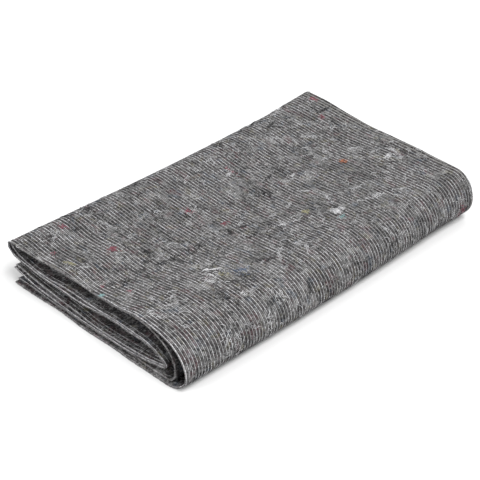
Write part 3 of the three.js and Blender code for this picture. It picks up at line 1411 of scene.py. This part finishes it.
@dataclass
class FibreEnds:
    """Loose ends of fibre and yarn in the felt: tufts of dyed rag, curls and the cut edges' fray.

    Lengths and thicknesses are in millimetres, and stray is in radians.
    """

    shape: BlanketShape
    # Yarn ends are drawn about twice as thick as they are, so that they show at the picture's size
    thickness: float = 0.6
    uneven: tuple[float, float] = (0.5, 1.4)
    clump: tuple[float, float] = (8.0, 2.0)
    stray: float = 0.4
    edge_clear: float = 1.0
    # From under the right fold, over the top and round the left fold
    curl_span: tuple[float, float] = (1.7, 8.0)
    tuft_length: float = 7.0
    tuft_thickness: float = 0.5
    fray_count: int = 1600
    fray_length: float = 3.5
    fray_thickness: float = 0.4
    fray_depth: tuple[float, float] = (0.2, 0.8)
    fray_seed: int = 4
    seed: int = 23

    def tree(self) -> bpy.types.NodeTree:
        """Make the Geometry Nodes tree that lays a bent, hooked or wavy fibre on each point of the cloth.

        Returns:
            The tree, with the fibres' length and thickness as its inputs.
        """
        sizes = {"Length": self.tuft_length, "Thickness": self.tuft_thickness}
        tree, inputs = Scatter.tree("fibre_ends", sizes, self.seed)
        bent = add_node(
            tree, "GeometryNodeCurveQuadraticBezier",
            {
                "Resolution": 5,
                "Start": (-0.5, 0.0, -0.04),
                "Middle": (0.0, 0.35, 0.2),
                "End": (0.5, 0.0, -0.04),
            },
        )
        hooked = add_node(
            tree, "GeometryNodeCurveArc",
            {"Resolution": 8, "Radius": 0.22, "Sweep Angle": 4.2},
            mode="RADIUS",
        )
        wavy = add_node(
            tree, "GeometryNodeCurvePrimitiveBezierSegment",
            {
                "Resolution": 6,
                "Start": (-0.5, 0.0, -0.04),
                "Start Handle": (-0.2, 0.5, 0.1),
                "End Handle": (0.2, -0.5, 0.16),
                "End": (0.5, 0.0, -0.04),
            },
        )
        thin = add_node(
            tree, "ShaderNodeMath", {0: inputs["Thickness"], 1: inputs["Length"]}, operation="DIVIDE"
        )
        round_wire = add_node(tree, "GeometryNodeCurvePrimitiveCircle", {"Resolution": 3, "Radius": 0.5})
        sized = add_node(
            tree, "GeometryNodeTransform",
            {"Geometry": round_wire.outputs["Curve"], "Scale": thin.outputs["Value"]},
        )
        shapes = []
        for line in (bent, hooked, wavy):
            wire = add_node(
                tree, "GeometryNodeCurveToMesh",
                {
                    "Curve": line.outputs["Curve"],
                    "Profile Curve": sized.outputs["Geometry"],
                    "Fill Caps": True,
                },
            )
            whole = add_node(tree, "GeometryNodeGeometryToInstance", {"Geometry": wire.outputs["Mesh"]})
            shapes.append(whole.outputs["Instances"])
        choice = add_node(tree, "GeometryNodeJoinGeometry", {"Geometry": shapes})
        which = add_node(
            tree, "FunctionNodeRandomValue",
            {4: 0, 5: len(shapes) - 1, "Seed": inputs["Seed"]},
            data_type="INT",
        )
        up = add_node(tree, "GeometryNodeInputNamedAttribute", {"Name": UP_NAME}, data_type="FLOAT_VECTOR")
        lay = add_node(tree, "GeometryNodeInputNamedAttribute", {"Name": LAY_NAME}, data_type="FLOAT_VECTOR")
        turned = add_node(
            tree, "FunctionNodeAxesToRotation",
            {"Primary Axis": up.outputs["Attribute"], "Secondary Axis": lay.outputs["Attribute"]},
            primary_axis="Z", secondary_axis="X",
        )
        placing = {
            "Points": inputs["Geometry"],
            "Instance": choice.outputs["Geometry"],
            "Pick Instance": True,
            "Instance Index": which.outputs[2],
            "Rotation": turned.outputs["Rotation"],
        }
        Scatter.close(tree, inputs, placing, inputs["Length"], self.uneven)
        return tree

    def points(self, name: str, along: np.ndarray, over: np.ndarray, bearing: np.ndarray) -> bpy.types.Object:
        """Points on the seen side of the outer cloth.

        Args:
            name: Name of the object.
            along: Distances along the section, in millimetres.
            over: Distances over the cloth, in millimetres.
            bearing: Angle of each fibre to the stitch rows, in radians.

        Returns:
            An object of points, with the direction out of the cloth at each and the one its fibre lies in.
        """
        stations = self.shape.stations_at(along)
        cut, _ = self.shape.edges(stations)
        turn, nose = self.shape.section.turn(stations)
        inside = np.clip(over, cut + self.edge_clear, turn + np.pi * nose)
        spots, up = self.shape.face(stations, inside[:, None], self.shape.section.cloth / 2)
        ahead = self.shape.stations_at(along + np.cos(bearing))
        tips = self.shape.place(ahead, (inside + np.sin(bearing))[:, None], self.shape.section.cloth / 2)
        return mesh_object(name, spots[:, 0], vectors={UP_NAME: up[:, 0], LAY_NAME: (tips - spots)[:, 0]})

    def tufts(self, colour: FibreColour) -> bpy.types.Object:
        """Points of all tufts of one colour.

        Args:
            colour: Dye of the tufts.

        Returns:
            An object of points with their directions.
        """
        random = np.random.default_rng([self.seed, list(FibreColour).index(colour)])
        along, over, bearing = [], [], []
        for fleck in FLECKS[colour]:
            along.append(random.normal(fleck.along, fleck.spread[0], fleck.count))
            over.append(random.normal(fleck.over, fleck.spread[1], fleck.count))
            any_way = random.uniform(0, 2 * np.pi, fleck.count)
            laid = random.normal(np.radians(fleck.bearing or 0), self.stray, fleck.count)
            bearing.append(any_way if fleck.bearing is None else laid)
        places = [np.concatenate(part) for part in (along, over, bearing)]
        return self.points(f"tufts_{colour.name.lower()}", *places)

    def curls(self, piece: CurlPiece, seed: int) -> bpy.types.Object:
        """Points of loose yarn ends in streaks spread over the seen cloth.

        Args:
            piece: The piece that the ends are for.
            seed: Seed of their places.

        Returns:
            An object of points with their directions.
        """
        random = np.random.default_rng([self.seed, seed])
        sizes = random.geometric(1 / piece.count, piece.clumps)
        start, end = self.shape.path(self.curl_span[0]), self.shape.path(self.curl_span[1])
        along = random.uniform(start, end, piece.clumps)
        middle = along + 1j * random.uniform(0, self.shape.section.length, piece.clumps)
        bearing = np.repeat(random.uniform(0, np.pi, piece.clumps), sizes)
        count = len(bearing)
        lengthwise = random.normal(0, self.clump[0], count)
        apart = lengthwise + 1j * random.normal(0, self.clump[1], count)
        spots = np.repeat(middle, sizes) + apart * np.exp(1j * bearing)
        turned = bearing + random.normal(0, self.stray, count)
        return self.points(piece.name, spots.real, spots.imag, turned)

    def fray(self) -> bpy.types.Object:
        """Points of the fibres that fray from the two cut edges.

        Returns:
            An object of points with their directions.
        """
        random = np.random.default_rng([self.seed, self.fray_seed])
        count = self.fray_count
        stations = self.shape.stations_at(random.uniform(0, self.shape.path(FREE_END), count))
        half = self.shape.section.cloth / 2
        spots = []
        for edge in self.shape.edges(stations):
            faces = [self.shape.place(stations, edge[:, None], side * half)[:, 0] for side in (-1, 1)]
            part = random.uniform(*self.fray_depth, (count, 1))
            spots.append(faces[0] * part + faces[1] * (1 - part))
        spots = np.concatenate(spots)
        up = np.broadcast_to([0.0, -1.0, 0.0], spots.shape)
        lay = random.normal(0, 1, spots.shape)
        return mesh_object("fray_cut_edge", spots, vectors={UP_NAME: up, LAY_NAME: lay})

    def build(self) -> list[bpy.types.Object]:
        """Make the tufts, the curls and the fray.

        Returns:
            The pieces as plain meshes.
        """
        tree = self.tree()
        pieces = []
        sizes = {"Length": self.tuft_length, "Thickness": self.tuft_thickness}
        for colour in FibreColour:
            dyed = FibreFinish(colour.value, colour.value).material(f"rag_fibre_{colour.name.lower()}")
            pieces.append(Scatter.apply(self.tufts(colour), tree, sizes, self.seed, dyed))
        for seed, piece in enumerate(CURL_PIECES, start=1):
            sizes = {"Length": piece.length, "Thickness": self.thickness}
            yarn = piece.finish.material(f"yarn_{piece.name}")
            pieces.append(Scatter.apply(self.curls(piece, seed), tree, sizes, self.seed + seed, yarn))
        sizes = {"Length": self.fray_length, "Thickness": self.fray_thickness}
        loose = FibreFinish("292829", "8c8b8c").material("loose_felt_fibre")
        pieces.append(Scatter.apply(self.fray(), tree, sizes, self.seed, loose))
        return pieces


@dataclass(frozen=True)
class SoftBox:
    """A square soft light that faces the blanket, by its place and width in metres and its power in watts."""

    name: str
    spot: tuple[float, float, float]
    size: float
    power: float


SOFT_BOXES = (
    SoftBox("soft_box_right", (3.2, -0.2, 5.6), 3.6, 490.0),
    SoftBox("soft_box_back", (-0.7, 2.2, 2.4), 2.2, 36.0),
    SoftBox("soft_box_front", (-0.9, -2.7, 1.1), 1.6, 50.0),
)


@dataclass
class Studio:
    """Pale floor, soft lights and the camera at the photograph's viewing angle.

    The eye and the floor's drop are in millimetres, the angles in degrees, and the clip and the floor's size
    in metres.
    """

    eye: tuple[float, float, float] = (1339.49, -1384.76, 1280.37)
    azimuth: float = 44.8
    elevation: float = 33.36
    roll: float = 0.18
    lens: float = 94.53
    sensor: float = 36.0
    clip: tuple[float, float] = (0.05, 50.0)
    floor_size: float = 24.0
    floor_drop: float = 0.4
    sky: float = 0.72

    def camera(self) -> None:
        """Make the scene's camera."""
        data = bpy.data.cameras.new("camera")
        data.lens = self.lens
        data.sensor_width = self.sensor
        data.clip_start, data.clip_end = self.clip
        made = bpy.data.objects.new("camera", data)
        bpy.context.scene.collection.objects.link(made)
        azimuth, elevation = np.radians([self.azimuth, self.elevation])
        back = Vector((
            np.sin(azimuth) * np.cos(elevation),
            -np.cos(azimuth) * np.cos(elevation),
            np.sin(elevation),
        ))
        turn = (-back).to_track_quat("-Z", "Y").to_matrix().to_4x4()
        made.matrix_world = (
            Matrix.Translation(Vector(self.eye) * MM) @ turn @ Matrix.Rotation(np.radians(self.roll), 4, "Z")
        )
        bpy.context.scene.camera = made

    def floor(self) -> bpy.types.Object:
        """Make the plain floor, a little below the blanket, so that their faces never share a plane.

        Returns:
            The floor, dressed.
        """
        half = self.floor_size / 2
        low = -self.floor_drop * MM
        corners = np.array([(-half, -half, low), (half, -half, low), (half, half, low), (-half, half, low)])
        made = mesh_object("floor", corners, faces=[[0, 1, 2, 3]])
        made.data.materials.append(PaperFinish().material("matt_pale_paper"))
        return made

    def lights(self) -> None:
        """Light the scene with an even sky and three large soft boxes."""
        world = bpy.data.worlds.new("studio_air")
        world.use_nodes = True
        air = world.node_tree.nodes["Background"]
        air.inputs["Color"].default_value = (1.0, 1.0, 1.0, 1.0)
        air.inputs["Strength"].default_value = self.sky
        bpy.context.scene.world = world
        for box in SOFT_BOXES:
            lamp = bpy.data.lights.new(box.name, "AREA")
            lamp.size = box.size
            lamp.energy = box.power
            made = bpy.data.objects.new(box.name, lamp)
            made.location = box.spot
            made.rotation_mode = "QUATERNION"
            made.rotation_quaternion = (-Vector(box.spot)).to_track_quat("-Z", "Y")
            bpy.context.scene.collection.objects.link(made)


def main() -> None:
    """Build the blanket and its setting, and report each piece."""
    logging.basicConfig(level=logging.INFO, format="%(name)s: %(message)s")
    bpy.context.scene.view_settings.view_transform = "Standard"
    studio = Studio()
    studio.camera()
    studio.lights()
    floor = studio.floor()
    shape = BlanketShape()
    felt = FeltSheet(shape)
    sheet = felt.build()
    felt.dress(sheet, FeltFinish())
    pieces = []
    thread = FibreFinish("939395", "b3b3b5", TANGLE_MOTTLES).material("polyester_stitch_thread")
    bright = FibreFinish("929296", "bebec0").material("polyester_edge_thread")
    pieces = [*StitchRows(shape).build(thread, bright), *FibreEnds(shape).build()]
    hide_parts("blanket")
    for piece in (sheet, *pieces):
        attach(piece, "root")
        LOG.info("%s: %d faces", piece.name, len(piece.data.polygons))


if __name__ == "__main__":
    main()
